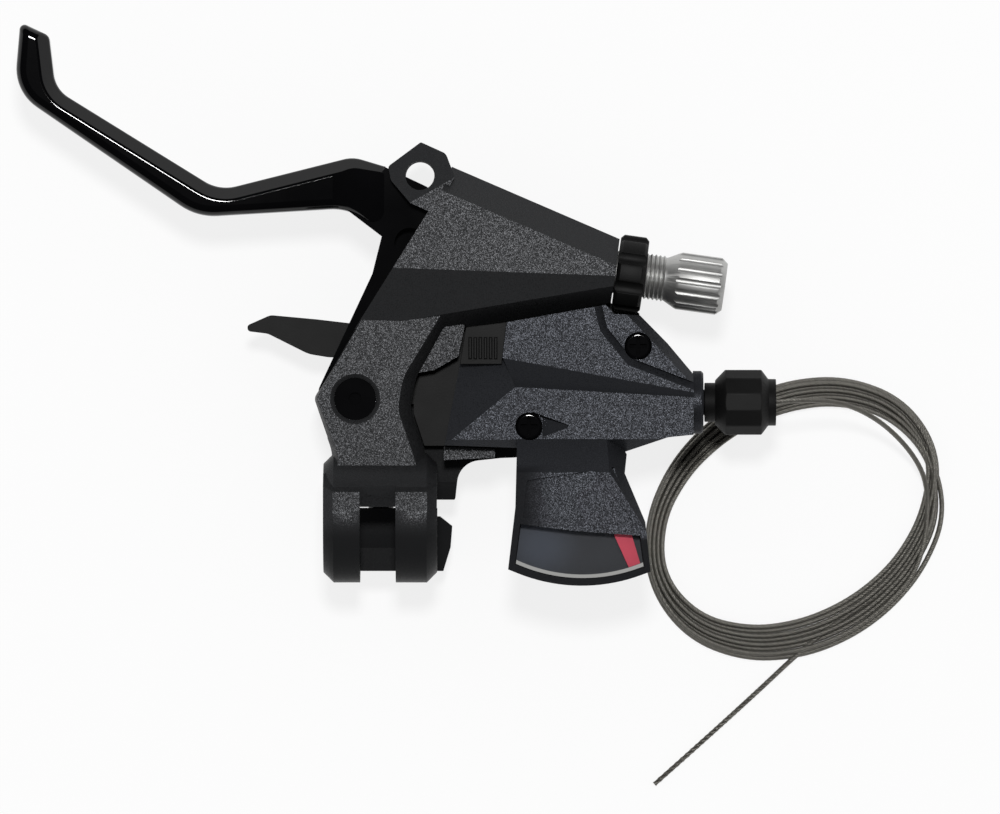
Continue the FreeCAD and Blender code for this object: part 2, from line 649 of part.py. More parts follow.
def island_cuts():
    """The slanted step round the island, one cut for each straight run."""
    low = COVER_TOP - ISLAND_DEPTH
    cuts = []
    for i in range(len(ISLAND_LEFT) - 1):
        outline = [ISLAND_LEFT[i], ISLAND_LEFT[i + 1], ISLAND_RIGHT[i + 1], ISLAND_RIGHT[i]]
        ridge = [corner + (COVER_TOP,) for corner in outline[:2]]
        cuts.append(slant_cut(outline, *ridge, outline[2] + (low,)))
    return cuts


def side_cut(drop):
    """The slanted facet on the cover's left, which falls away from the lower face's edge."""
    top = COVER_TOP - drop
    return slant_cut(SIDE, SIDE[0] + (top,), SIDE[3] + (top,), (19.8, 36.1, top - SIDE_DROP))


def slant_cut(outline, first, second, third):
    """What lies over a plan outline and above the plane through three points."""
    above = prism(outline, -20, COVER_TOP + 5)
    return above.cut(below_plane(above, first, second, third))


def faceted(shape, drop):
    """A shape cut to the cover's slanted faces, or to the same faces further down."""
    for facet in COVER_FACETS:
        shape = below_plane(shape, *[(p[0], p[1], p[2] - drop) for p in facet])
    return shape


def under_slope(shape, drop):
    """A shape cut to the slope that leads up to the display, or to the same slope further down."""
    front = COVER_TOP - drop
    start = (40, NECK_FRONT, front)
    across = (50, NECK_FRONT, front)
    return below_plane(shape, start, across, (45, 10.8, DISPLAY_TOP - drop))


def cover_room():
    """The hollow of the cover, which keeps a wall under every outer face."""
    room = faceted(prism(CAVITY, SPLIT_Z - 1, CEILING), WALL + GAP)
    room = room.cut(side_cut(WALL + GAP))
    room = room.cut(teardrop_cut(inset(TEARDROP, SCREWS[1], 1.4), WALL))
    return room.cut(prism(inset(RIB_CORNER, RIB_MIDDLE, 1.3), RIB_FLOOR - WALL, COVER_TOP))


def teardrop_cut(outline, drop):
    """The lower screw's hollow, whose floor rises toward its tip, or the same hollow further down."""
    low = SCREW_SEAT - drop
    tip = (TEARDROP[2][0], TEARDROP[2][1], COVER_TOP - TIP_DEPTH - drop)
    start = SCREWS[1][0] + COVER_HEAD_RADIUS
    floor = slant_cut(outline, (start, 0, low), (start, 40, low), tip)
    return floor.common(prism(outline, low, COVER_TOP + 5))


def neck():
    """The part of the cover that rises beside the bar and carries the display."""
    rear = 8.6
    outline = [(32.2, NECK_FRONT), (32.0, rear), (57.2, rear), (58.4, NECK_FRONT)]
    return prism(outline, NEEDLE_LOW - 1.2, DISPLAY_UNDER + 1)


def needle_step_room():
    """The room in the neck that the pointer's step swings in."""
    half = 6.6
    low = NEEDLE_LOW - 0.5
    rear = NEEDLE_PIVOT[1] - NEEDLE_STEP - GAP
    return Part.makeBox(2 * half, 19.0 - rear, LENS_UNDER - 0.6 - low, V(NEEDLE_PIVOT[0] - half, rear, low))


def needle_at(height):
    return V(NEEDLE_PIVOT[0], NEEDLE_PIVOT[1], height)


def screw_boss(at):
    return rod(COVER_SCREW_RADIUS + 1.1, V(at[0], at[1], SPLIT_Z), V(at[0], at[1], CEILING + 0.2))


def rib_block():
    """The black block in the cover's corner, with short upright ribs."""
    low = RIB_FLOOR
    block = prism(RIB_CORNER, low, low + 1.4)
    ribs = []
    for i in range(6):
        ribs.append(Part.makeBox(0.6, 5.0, 0.7, V(20.9 + 1.2 * i, 37.4, low + 1.3)))
    return block.fuse(ribs)


def cover_screws():
    both = []
    for at in SCREWS:
        base = V(at[0], at[1], SCREW_SEAT)
        shank = rod(COVER_SCREW_RADIUS, V(at[0], at[1], SHELF_TOP + TRAY_FLOOR), base)
        head = Part.makeCylinder(COVER_HEAD_RADIUS, COVER_HEAD_HEIGHT, base)
        rims = [e for e in head.Edges if e.CenterOfMass.z > SCREW_SEAT + 1 and len(e.Vertexes) == 1]
        head = head.makeFillet(0.7, rims)
        top = SCREW_SEAT + COVER_HEAD_HEIGHT
        cross = Part.makeBox(4.0, 0.9, 2, V(at[0] - 2.0, at[1] - 0.45, top - 1.1))
        cross = cross.fuse(Part.makeBox(0.9, 4.0, 2, V(at[0] - 0.45, at[1] - 2.0, top - 1.1)))
        both.append(shank.fuse(head).cut(cross))
    return Part.makeCompound(both)


def inset(outline, middle, share):
    """An outline drawn in toward a middle point by a share of its size."""
    points = []
    for p in outline:
        x = middle[0] + (p[0] - middle[0]) * share
        y = middle[1] + (p[1] - middle[1]) * share
        points.append((x, y) + p[2:])
    return points


LENS_CENTRE = (46.8, -7.4)
LENS_SHARE = 0.985


def display_window():
    return prism(inset(POCKET, LENS_CENTRE, LENS_SHARE), LENS_UNDER, DISPLAY_TOP)


def display_face():
    return prism(inset(POCKET, LENS_CENTRE, LENS_SHARE), POCKET_FLOOR, POCKET_FLOOR + 0.7)


def display_needle():
    """The pointer: an arm under the cover, a step up through the neck and a wide red tip."""
    thick = NEEDLE_THICKNESS
    hub = rod(NEEDLE_PIN_RADIUS + 1.4, needle_at(NEEDLE_LOW), needle_at(NEEDLE_LOW + thick))
    low_arm = needle_strip(1.5, NEEDLE_STEP, NEEDLE_LOW, NEEDLE_LOW + thick)
    riser = needle_strip(NEEDLE_STEP - thick, NEEDLE_STEP, NEEDLE_LOW, NEEDLE_HIGH + thick)
    high_arm = needle_strip(NEEDLE_STEP - thick, NEEDLE_REACH - 1, NEEDLE_HIGH, NEEDLE_HIGH + thick)
    x, y = NEEDLE_PIVOT
    shoulder = y - NEEDLE_REACH + 8.6
    tip = [
        (x - NEEDLE_TIP_HALF - 0.6, shoulder), (x - NEEDLE_TIP_HALF, y - NEEDLE_REACH),
        (x + NEEDLE_TIP_HALF, y - NEEDLE_REACH), (x + NEEDLE_TIP_HALF + 0.6, shoulder),
    ]
    needle = hub.fuse([low_arm, riser, high_arm, prism(tip, NEEDLE_HIGH, NEEDLE_HIGH + thick)])
    needle = needle.cut(rod(NEEDLE_PIN_RADIUS + RUN_CLEAR, needle_at(0), needle_at(20)))
    needle.rotate(needle_at(0), V(0, 0, 1), NEEDLE_TURN)
    return needle


def needle_strip(near, far, low, high):
    """A straight length of the pointer, measured from its pin."""
    width = 2 * NEEDLE_ARM_HALF
    return Part.makeBox(width, far - near, high - low, needle_at(low) - V(NEEDLE_ARM_HALF, far, 0))


def needle_pin():
    foot = rod(2.2, needle_at(NEEDLE_LOW - GAP - 0.8), needle_at(NEEDLE_LOW - GAP))
    return foot.fuse(rod(NEEDLE_PIN_RADIUS, needle_at(NEEDLE_LOW - GAP), needle_at(CEILING + 1.0)))


def shift_base_cover():
    tray = prism(POD, SHELF_TOP, SPLIT_Z).fuse(prism(TRAY_SIDE, SHELF_TOP, SPLIT_Z))
    tray = tray.cut(prism(CAVITY, PLATE_UNDER, SPLIT_Z + 1))
    tray = tray.cut(rod(HUB_RADIUS + GAP, at_axle(-30), at_axle(30)))
    return tray.cut(unit_bolt_holes())


def unit_bolt_holes():
    holes = []
    for at in UNIT_BOLTS:
        holes.append(upright(UNIT_BOLT_RADIUS + RUN_CLEAR, at, SHELF_TOP - 1, PLATE_TOP + 1))
    return holes


PLATE_SHARE = 0.985


def base_plate():
    middle = (43.0, 32.0)
    plate = prism(inset(CAVITY, middle, PLATE_SHARE), PLATE_UNDER, PLATE_TOP)
    cuts = [rod(HUB_RADIUS + GAP, at_axle(-30), at_axle(30))]
    for at in SCREWS:
        cuts.append(rod(COVER_SCREW_RADIUS + RUN_CLEAR, V(at[0], at[1], -20), V(at[0], at[1], 20)))
    cuts.append(upright(1.0 + RUN_CLEAR, HOLD_PIVOT, -20, 20))
    return plate.cut(cuts + unit_bolt_holes())


def unit_bolts():
    both = []
    for at in UNIT_BOLTS:
        low = V(at[0], at[1], SHELF_UNDER)
        head = Part.makeCylinder(UNIT_HEAD_RADIUS, UNIT_HEAD_HEIGHT, low)
        shank = rod(UNIT_BOLT_RADIUS, low, V(at[0], at[1], PLATE_TOP + 1.0))
        both.append(head.fuse(shank).cut(hexagon(3.0, SHELF_UNDER - 1, SHELF_UNDER + 1.2, at)))
    return Part.makeCompound(both)


AXLE_HEAD = 2.2
NUT_LOW = DRUM_TOP + GAP


def main_axle():
    head = rod(5.0, at_axle(THUMB_UNDER - GAP - AXLE_HEAD), at_axle(THUMB_UNDER - GAP))
    return head.fuse(rod(AXLE_RADIUS, at_axle(THUMB_UNDER - GAP), at_axle(NUT_LOW + 3.0)))


def axle_nut():
    nut = hexagon(8.0, NUT_LOW, NUT_LOW + 2.6, AXLE)
    return nut.cut(rod(AXLE_RADIUS + RUN_CLEAR, at_axle(-30), at_axle(30)))


def bored(shape, radius):
    """A shape with a hole on the axle."""
    return shape.cut(rod(radius, at_axle(-40), at_axle(40)))


NIPPLE_RADIUS = 1.4
NIPPLE_TURN = -106.0


def cable_drum():
    groove_low = -CABLE_RADIUS - GAP
    groove_high = CABLE_RADIUS + GAP
    floor = DRUM_RADIUS - CABLE_RADIUS - GAP
    outer = DRUM_RADIUS + DRUM_FLANGE
    drum = rod(outer, at_axle(DRUM_UNDER), at_axle(DRUM_TOP))
    groove = rod(outer + 1, at_axle(groove_low), at_axle(groove_high))
    groove = groove.cut(rod(floor, at_axle(-9), at_axle(9)))
    drum = drum.cut(groove).fuse(rod(HUB_RADIUS, at_axle(DRIVE_UNDER), at_axle(DRUM_UNDER + 1)))
    at = polar(AXLE, DRUM_RADIUS, NIPPLE_TURN)
    drum = drum.cut(rod(NIPPLE_RADIUS + RUN_CLEAR, V(at[0], at[1], -1.7), V(at[0], at[1], 20)))
    return bored(drum, AXLE_RADIUS + RUN_CLEAR)


def cable_nipple():
    at = polar(AXLE, DRUM_RADIUS, NIPPLE_TURN)
    return rod(NIPPLE_RADIUS, V(at[0], at[1], -1.7), V(at[0], at[1], 1.7))


def toothed(radius, first, low, high):
    """A ratchet disc: a round rim with three saw-tooth gaps."""
    disc = rod(radius, at_axle(low), at_axle(high))
    for i in range(3):
        start = first + TOOTH_STEP * i
        top = polar(AXLE, radius + 1, start)
        gap = [top, polar(AXLE, radius - 2.0, start), polar(AXLE, radius + 1, start + 22)]
        disc = disc.cut(prism(gap, low - 1, high + 1))
    return bored(disc, HUB_RADIUS + RUN_CLEAR)


def ratchet_plate():
    return toothed(RATCHET_RADIUS, 160, RATCHET_UNDER, DRUM_UNDER)


def drive_ratchet():
    return toothed(DRIVE_RADIUS, 160, DRIVE_UNDER, DRIVE_TOP)


HOLD_PIVOT = polar(AXLE, RATCHET_RADIUS + 5.0, 165.0)
FEED_PIVOT = polar(AXLE, DRIVE_RADIUS + 5.0, 250.0)


def pawl(pivot, turn, radius, low, high):
    """A small pawl whose nose rides just off a ratchet's rim."""
    nose = polar(AXLE, radius + GAP, turn)
    heel = polar(AXLE, radius + 2.2, turn)
    side = polar(AXLE, radius + 6.6, turn - 14)
    body = prism([nose, heel, side, pivot, polar(AXLE, radius + 1.6, turn - 10)], low, high)
    hub = rod(2.0, V(pivot[0], pivot[1], low), V(pivot[0], pivot[1], high))
    body = body.fuse(hub)
    return body.cut(rod(1.0 + RUN_CLEAR, V(pivot[0], pivot[1], -40), V(pivot[0], pivot[1], 40)))


def hold_pawl():
    return pawl(HOLD_PIVOT, 192, RATCHET_RADIUS, RATCHET_UNDER, DRUM_UNDER)


def hold_pawl_pin():
    return upright(1.0, HOLD_PIVOT, PLATE_UNDER, DRUM_UNDER + 0.4)


def feed_pawl():
    return pawl(FEED_PIVOT, 277, DRIVE_RADIUS, DRIVE_UNDER, DRIVE_TOP)


def feed_pawl_pin():
    return upright(1.0, FEED_PIVOT, THUMB_UNDER, DRIVE_TOP)


THUMB_PLATE = [
    (54.0, 36.0, 4), (44.6, 27.0, 4), (36.0, 17.2, 5),
    (15.0, 15.8, 2), (14.6, 20.6), (29.0, 27.0, 8), (39.6, 42.0, 5),
    (50.0, 45.0, 6),
]
THUMB_FLANGE = [(14.6, 15.8), (36.0, 16.6, 14), (44.0, 24.0), (42.4, 25.6), (35.4, 19.2, 12), (14.6, 18.4)]
PAD = [(14.8, 13.6, 1), (36.8, 14.3, 15), (42.0, 19.4, 1), (40.8, 20.9), (36.0, 16.6, 14), (14.8, 15.8)]
RELEASE = [
    (54.5, 38.0, 6), (46.0, 29.4, 6), (36.0, 35.4, 10),
    (20.0, 38.6, 20), (-12.1, 37.8, 8), (-17.0, 38.6, 8),
    (-26.6, 43.4, 4), (-31.4, 44.0, 0.8), (-31.4, 45.4, 0.8),
    (-26.0, 47.8, 3), (-15.1, 46.8, 20), (12.0, 43.6, 20),
    (38.0, 44.6, 8), (50.0, 45.6, 6),
]
FLANGE_UNDER = THUMB_UNDER - THUMB_STEP


def thumb_lever():
    plate = prism(THUMB_PLATE, THUMB_UNDER, THUMB_TOP)
    flange = prism(THUMB_FLANGE, FLANGE_UNDER, THUMB_TOP)
    lever = plate.fuse([flange, rod(8.2, at_axle(THUMB_UNDER), at_axle(THUMB_TOP))])
    lever = lever.cut(upright(1.0 + RUN_CLEAR, FEED_PIVOT, -60, 60))
    return bored(lever, AXLE_RADIUS + RUN_CLEAR)


def thumb_pad():
    pad = prism(PAD, FLANGE_UNDER, THUMB_TOP)
    cuts = []
    for i in range(6):
        cuts.append(Part.makeBox(60, 0.6, 0.9, V(0, 13.4, FLANGE_UNDER + 2.0 + 2.2 * i)))
    return pad.cut(cuts)


def release_lever():
    lever = prism(RELEASE, RELEASE_UNDER, RELEASE_TOP)
    return bored(lever, HUB_RADIUS + RUN_CLEAR + GAP / 2)


def spiral_spring(inner, outer, turns, strip, low, high):
    """A flat strip wound round the axle from an inner to an outer radius."""
    steps = int(turns * 16)
    near = []
    far = []
    for i in range(steps + 1):
        radius = inner + (outer - strip - inner) * i / steps
        near.append(V(*polar(AXLE, radius, 360 * turns * i / steps), low))
        far.append(V(*polar(AXLE, radius + strip, 360 * turns * i / steps), low))
    inside = Part.BSplineCurve()
    inside.interpolate(near)
    outside = Part.BSplineCurve()
    outside.interpolate(far)
    ends = [Part.makeLine(near[-1], far[-1]), Part.makeLine(far[0], near[0])]
    outline = Part.Wire(Part.__sortEdges__([inside.toShape(), outside.toShape()] + ends))
    return Part.Face(outline).extrude(V(0, 0, high - low))


def drum_return_spring():
    low = DRUM_TOP + GAP
    return spiral_spring(5.4, DRUM_RADIUS + DRUM_FLANGE - 0.4, 2.5, 0.6, low, low + 2.0)


def thumb_return_spring():
    low = THUMB_UNDER - GAP - AXLE_HEAD
    return spiral_spring(5.4, 9.0, 2.0, 0.6, low, low + AXLE_HEAD)


def adjuster_collar():
    profile = [
        (NOSE_END, STEM_RADIUS + RUN_CLEAR),
        (NOSE_END, COLLAR_RADIUS), (NOSE_END + COLLAR_WIDTH - 0.5, COLLAR_RADIUS),
        (NOSE_END + COLLAR_WIDTH, COLLAR_RADIUS - 0.5), (NOSE_END + COLLAR_WIDTH, STEM_RADIUS + RUN_CLEAR),
    ]
    return turned(profile, V(0, CABLE_Y, 0), V(1, 0, 0))


def shift_cable_adjuster():
    """A knob with flats, its neck and the stem that screws into the nose."""
    points = []
    for i in range(KNOB_SIDES):
        points.append(polar((0, 0), KNOB_RADIUS, 360 * (i + 0.5) / KNOB_SIDES) + (1.2,))
    knob = prism(points, KNOB_START, KNOB_START + KNOB_LENGTH)
    knob.rotate(V(0, 0, 0), V(0, 1, 0), 90)
    knob.translate(V(0, CABLE_Y, 0))
    end = KNOB_START + KNOB_LENGTH
    shape = [
        (KNOB_START, 0), (KNOB_START, NECK_RADIUS + 0.6),
        (KNOB_START + 2.6, KNOB_RADIUS), (end - 1.8, KNOB_RADIUS),
        (end, KNOB_END_RADIUS), (end, 0),
    ]
    knob = knob.common(turned(shape, V(0, CABLE_Y, 0), V(1, 0, 0)))
    near = NOSE_END + COLLAR_WIDTH + GAP
    pieces = [
        rod(NECK_RADIUS, V(near, CABLE_Y, 0), V(KNOB_START + 1, CABLE_Y, 0)),
        rod(STEM_RADIUS, V(NOSE_END - STEM_LENGTH, CABLE_Y, 0), V(near + 1, CABLE_Y, 0)),
        rod(KNOB_END_RADIUS, V(end - 1, CABLE_Y, 0), V(KNOB_END, CABLE_Y, 0)),
    ]
    return knob.fuse(pieces).cut(rod(CABLE_RADIUS + GAP, V(50, CABLE_Y, 0), V(120, CABLE_Y, 0)))


# The shift cable's free end, which lies on the table under the levers
TABLE_Z = FLANGE_UNDER
COIL_OUTER = (98.5, -0.45, 38.6, 30.8, 35.8)
COIL_INNER = (97.8, 0.3, 33.1, 23.0, 29.6)
COIL_HEIGHT = 4.8
REST_Z = TABLE_Z + CABLE_RADIUS
LEAD = [
    (KNOB_END, CABLE_Y, 0), (104.0, 28.4, -2.6),
    (116.0, 24.6, -11.0), (126.0, 15.6, -20.0), (130.4, 6.0, REST_Z + 2.0),
]
TAIL = [(103.6, -28.0, REST_Z + 0.6), (84.2, -46.4, REST_Z), (64.9, -63.5, REST_Z)]


def cable(points, name):
    """A round cable through straight runs and tangent arcs, with its bend radii printed."""
    corners = [V(*p) for p in points]
    at = corners[0]
    edges = []
    radii = []
    for i in range(1, len(corners) - 1):
        back = corners[i - 1] - corners[i]
        on = corners[i + 1] - corners[i]
        turn = math.pi - back.getAngle(on)
        reach = 0.45 * min(back.Length, on.Length)
        radii.append(round(reach / math.tan(turn / 2), 1))
        back.normalize()
        on.normalize()
        first = corners[i] + back * reach
        last = corners[i] + on * reach
        middle = back + on
        middle.normalize()
        sag = radii[-1] / math.cos(turn / 2) - radii[-1]
        edges.append(Part.makeLine(at, first))
        edges.append(Part.Arc(first, corners[i] + middle * sag, last).toShape())
        at = last
    edges.append(Part.makeLine(at, corners[-1]))
    print(name, "bend radii", radii)
    along = corners[1] - corners[0]
    section = Part.Wire(Part.makeCircle(CABLE_RADIUS, corners[0], along))
    return Part.Wire(edges).makePipeShell([section], True, False)


def ellipse_face(size):
    centre = V(size[0], size[1], TABLE_Z)
    turn = math.radians(size[4])
    major = centre + V(math.cos(turn), math.sin(turn), 0) * size[2]
    minor = centre + V(-math.sin(turn), math.cos(turn), 0) * size[3]
    return Part.Face(Part.Wire(Part.Ellipse(major, minor, centre).toShape()))


def shift_cable_coil():
    band = ellipse_face(COIL_OUTER).cut(ellipse_face(COIL_INNER))
    ring = band.extrude(V(0, 0, COIL_HEIGHT))
    rims = [e for e in ring.Edges if len(e.Vertexes) == 1 and e.CenterOfMass.z > TABLE_Z + 1]
    return ring.makeFillet(1.2, rims)


def shift_cable_inner():
    return rod(CABLE_RADIUS, V(AXLE[0] + 0.4, CABLE_Y, 0), V(KNOB_END, CABLE_Y, 0))


def export(shape, name):
    shape.removeSplitter().exportStep("parts/" + name + ".step")


os.makedirs("parts", exist_ok=True)
export(lever_bracket(), "lever_bracket")
export(brake_lever(), "brake_lever")
export(pivot_pin(), "pivot_pin")
export(pivot_bushes(), "pivot_bushes")
export(reach_screw(), "reach_screw")
export(clamp_bolt(), "clamp_bolt")
export(clamp_nut(), "clamp_nut")
export(brake_barrel_adjuster(), "brake_barrel_adjuster")
export(adjuster_lock_ring(), "adjuster_lock_ring")
export(shift_top_cover(), "shift_top_cover")
export(rib_block(), "rib_block")
export(cover_screws(), "cover_screws")
export(display_window(), "display_window")
export(display_face(), "display_face")
export(display_needle(), "display_needle")
export(needle_pin(), "needle_pin")
export(shift_base_cover(), "shift_base_cover")
export(base_plate(), "base_plate")
export(unit_bolts(), "unit_bolts")
export(main_axle(), "main_axle")
export(axle_nut(), "axle_nut")
export(cable_drum(), "cable_drum")
export(cable_nipple(), "cable_nipple")
export(ratchet_plate(), "ratchet_plate")
export(drive_ratchet(), "drive_ratchet")
export(hold_pawl(), "hold_pawl")
export(hold_pawl_pin(), "hold_pawl_pin")
export(feed_pawl(), "feed_pawl")
export(feed_pawl_pin(), "feed_pawl_pin")
export(thumb_lever(), "thumb_lever")
export(thumb_pad(), "thumb_pad")
export(release_lever(), "release_lever")
export(drum_return_spring(), "drum_return_spring")
export(thumb_return_spring(), "thumb_return_spring")
export(adjuster_collar(), "adjuster_collar")
export(shift_cable_adjuster(), "shift_cable_adjuster")
export(shift_cable_inner(), "shift_cable_inner")
export(cable(LEAD, "lead"), "shift_cable_lead")
export(shift_cable_coil(), "shift_cable_coil")
export(cable(TAIL, "tail"), "shift_cable_tail")
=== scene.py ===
import bpy
import bmesh
import json
import math
from mathutils import Matrix, Vector


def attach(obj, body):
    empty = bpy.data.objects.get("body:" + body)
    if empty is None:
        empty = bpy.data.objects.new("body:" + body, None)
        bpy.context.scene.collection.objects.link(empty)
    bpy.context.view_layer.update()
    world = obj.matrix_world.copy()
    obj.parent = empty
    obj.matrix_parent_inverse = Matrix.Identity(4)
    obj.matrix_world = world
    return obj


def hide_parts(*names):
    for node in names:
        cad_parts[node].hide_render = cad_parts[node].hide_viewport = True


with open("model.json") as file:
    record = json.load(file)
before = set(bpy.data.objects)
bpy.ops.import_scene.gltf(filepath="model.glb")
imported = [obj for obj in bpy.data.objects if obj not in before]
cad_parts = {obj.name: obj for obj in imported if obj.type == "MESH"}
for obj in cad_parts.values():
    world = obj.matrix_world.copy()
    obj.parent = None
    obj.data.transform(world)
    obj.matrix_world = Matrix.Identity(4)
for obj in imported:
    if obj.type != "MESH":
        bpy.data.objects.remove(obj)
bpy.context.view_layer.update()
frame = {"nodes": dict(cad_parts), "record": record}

# The frame is that of the solids: +X along the bar, +Y forward, +Z up. Lengths are metres where no
# comment says millimetres.
MM = 0.001

# Picture
PICTURE_WIDTH = 0.2353
PICTURE_CENTRE = (0.0282, 0.0261)
CAMERA_HEIGHT = 3.0
CAMERA_SIGHT = 20.0
SENSOR = 36.0

# Lamp, forward of the camera
LAMP_SIZE = 0.34
LAMP_POWER = 44.0
LAMP_TILT = math.radians(12)
LAMP_REACH = 2.8

# Light from all round, and the dome that is seen in gloss: white near the horizon, dark above
ROUND_LIGHT = (0.41, 0.41, 0.413, 1)
DOME_WHITE = (1, 1, 1, 1)
DOME_WHITE_TO = 0.1
DOME_DARK = (0.02, 0.02, 0.02, 1)
DOME_DARK_FROM = 0.3

# Table under the levers
TABLE_Z = -29.7 * MM
TABLE_DROP = 0.1 * MM
TABLE_HALF = 4.0
TABLE_GLOW = 0.8
TABLE_ROUGHNESS = 0.9

# Rounding of hard edges: width in millimetres, and the angle in degrees from which an edge is hard
SOFT_EDGES = {
    "lever_bracket": (0.35, 20),
    "shift_top_cover": (0.3, 20),
    "brake_barrel_adjuster": (0.25, 30),
    "shift_cable_adjuster": (0.15, 30),
    "release_lever": (0.15, 30),
    "rib_block": (0.15, 30),
    "adjuster_lock_ring": (0.15, 30),
    "cover_screws": (0.15, 30),
}
EDGE_SEGMENTS = 2
WELD_REACH = 0.001 * MM
FLAT_WITHIN = math.radians(1)

# Black skirt in the seams beside the lower cover and under the lock ring, in millimetres: partly the cover's
# edge, partly a dark sheet as painted shade in the seams
SKIRT_FROM = -7.8
SKIRT_TO = -4.6
SKIRTS = [
    [(21.0, 44.7), (30.4, 46.0), (53.0, 50.0), (52.9, 50.6), (30.3, 46.6), (20.9, 45.4)],
    [(7.2, 26.8), (9.0, 26.8), (10.5, 33.2), (12.8, 34.0), (18.6, 37.2), (20.2, 39.9), (20.9, 44.6),
     (19.6, 45.2), (18.2, 38.4), (12.6, 35.2), (7.9, 34.5), (7.2, 33.0)],
    [(52.4, 50.2), (55.0, 47.5), (61.2, 47.2), (61.0, 48.2), (60.3, 48.7), (55.2, 49.4), (54.2, 51.0),
     (52.4, 51.0)],
]

# Brake adjuster
ADJUSTER_AT = Vector((58.9, 57.4, 0)) * MM
ADJUSTER_SLOPE = math.radians(-8)
THREAD_RADIUS = 5.0 * MM
THREAD_PITCH = 1.0 * MM
THREAD_FROM = 3.45 * MM
THREAD_TO = 8.0 * MM
THREAD_STEPS = 32
THREAD_CREST = 0.42 * MM
THREAD_ROOT = -0.1 * THREAD_CREST
THREAD_HALF = 0.42 * THREAD_PITCH

# Rear edge of the display's lens
LENS_ARC_CENTRE = (47.5 * MM, 23.5 * MM, 0.0)
LENS_ARC_RADIUS = 37.4 * MM
LENS_EDGE = 0.9 * MM
LENS_EDGE_BLUR = 0.15 * MM
LENS_ALPHA = 0.12

# Where the cover's painted shade ends and its flakes begin: forward of the display, across the display and
# forward of its lens. The display's left side and the lens's rim get painted shade.
PAINTED_SHADE_END_FRONT = (11.0 * MM, 13.0 * MM)
PAINTED_SHADE_END_SIDE = (33.0 * MM, 41.0 * MM)
PAINTED_SHADE_END_LENS = (-5.2 * MM, -4.2 * MM)

# Where the bracket's painted shade ends and its flakes begin: above its shelf and forward of the clamp's
# rear. The shelf, the clamp's floor and the clamp's rear get painted shade.
PAINTED_SHADE_END_RAISED = (-4.0 * MM, 0.0)
PAINTED_SHADE_END_CLAMP = (-5.0 * MM, 0.0)

# Flaked paint: cells to a metre, the share of bright cells and their tilt
FLAKE_SCALE = 7000.0
FLAKE_SHARE = 0.65
FLAKE_TILT = 0.12
PAINT_ROUGHNESS = (0.35, 0.41)
PAINT_SPECULAR = 0.05
PAINT_TINT = (0.4, 0.4, 0.4, 1)

# Painted shade: share of the colour that is left where the paint has no flakes
PAINTED_SHADE_SHARE = 0.6

# Painted reflection on the dial: a pale patch
PAINTED_REFLECTION_CENTRE = (37.5 * MM, -6.5 * MM, 0.0)
PAINTED_REFLECTION_REACH = (1.0 * MM, 11.0 * MM)

# Shift cable
CABLE_RADIUS = 0.6 * MM
CABLE_LAY = 9.0 * MM
CABLE_LOBES = 6
CABLE_STEPS = 28
REST_Z = TABLE_Z + CABLE_RADIUS

# A strand's crest and the groove beside it, as shares of the cable's radius
LOBE_CREST = 1.01
LOBE_ROOT = 0.98

# The cable's line before and after the coil, in millimetres
LEAD = [
    (93.1, 27.2, 0.0), (104.0, 28.4, -2.6), (116.0, 24.6, -11.0), (126.0, 15.6, -20.0), (130.4, 6.0, -27.1),
]
TAIL = [(103.6, -28.0, -28.5), (84.2, -46.4, -29.1), (64.9, -63.5, -29.1)]

# The coil's band between two ovals: centre x and y, half lengths and turn in degrees, in millimetres
COIL_OUTER = (98.5, -0.45, 38.6, 30.8, 35.8)
COIL_INNER = (97.8, 0.3, 33.1, 23.0, 29.6)
COIL_POINTS = 16
COIL_MIDDLE = (98.0, 0.0)
COIL_START = math.radians(2)
COIL_OVERRUN = 0.16

# Lane of each turn, from the outer oval 0 to the inner one 1, and where in a turn the lane changes
COIL_LANES = [0.14, 0.71, 0.43, 1.0, 0.29, 0.86, 0.0, 0.57]
CHANGE_FROM = 0.86
CHANGE_SHARE = 0.2

# Height of the upper turns and of a lane change, in millimetres
UPPER_LAYER = 1.05
CROSSING_BASE = 0.3
CROSSING_STEP = 0.35


def link(piece):
    bpy.context.scene.collection.objects.link(piece)
    return piece


def mesh_piece(name, shape, material, body):
    """Makes a riding piece from a bmesh."""
    mesh = bpy.data.meshes.new(name)
    shape.to_mesh(mesh)
    shape.free()
    piece = link(bpy.data.objects.new(name, mesh))
    piece.data.materials.append(material)
    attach(piece, body)
    return piece


# Nodes


def feed(links, source, target):
    """Links another node's output to a socket, or sets a plain value on it."""
    if isinstance(source, bpy.types.NodeSocket):
        links.new(source, target)
    else:
        target.default_value = source


def math_node(nodes, links, operation, first, second):
    node = nodes.new("ShaderNodeMath")
    node.operation = operation
    feed(links, first, node.inputs[0])
    feed(links, second, node.inputs[1])
    return node.outputs[0]


def vector_node(nodes, links, operation, first, second):
    node = nodes.new("ShaderNodeVectorMath")
    node.operation = operation
    feed(links, first, node.inputs[0])
    feed(links, second, node.inputs[1])
    return node


def scaled(nodes, links, vector, factor):
    node = nodes.new("ShaderNodeVectorMath")
    node.operation = "SCALE"
    feed(links, vector, node.inputs[0])
    feed(links, factor, node.inputs["Scale"])
    return node.outputs[0]


def object_place(nodes):
    """The place on the piece, in the frame of the solids."""
    return nodes.new("ShaderNodeTexCoord").outputs["Object"]


# Node groups shared by the finishes


def group_socket(group, name, kind, way):
    return group.interface.new_socket(name=name, in_out=way, socket_type="NodeSocket" + kind)


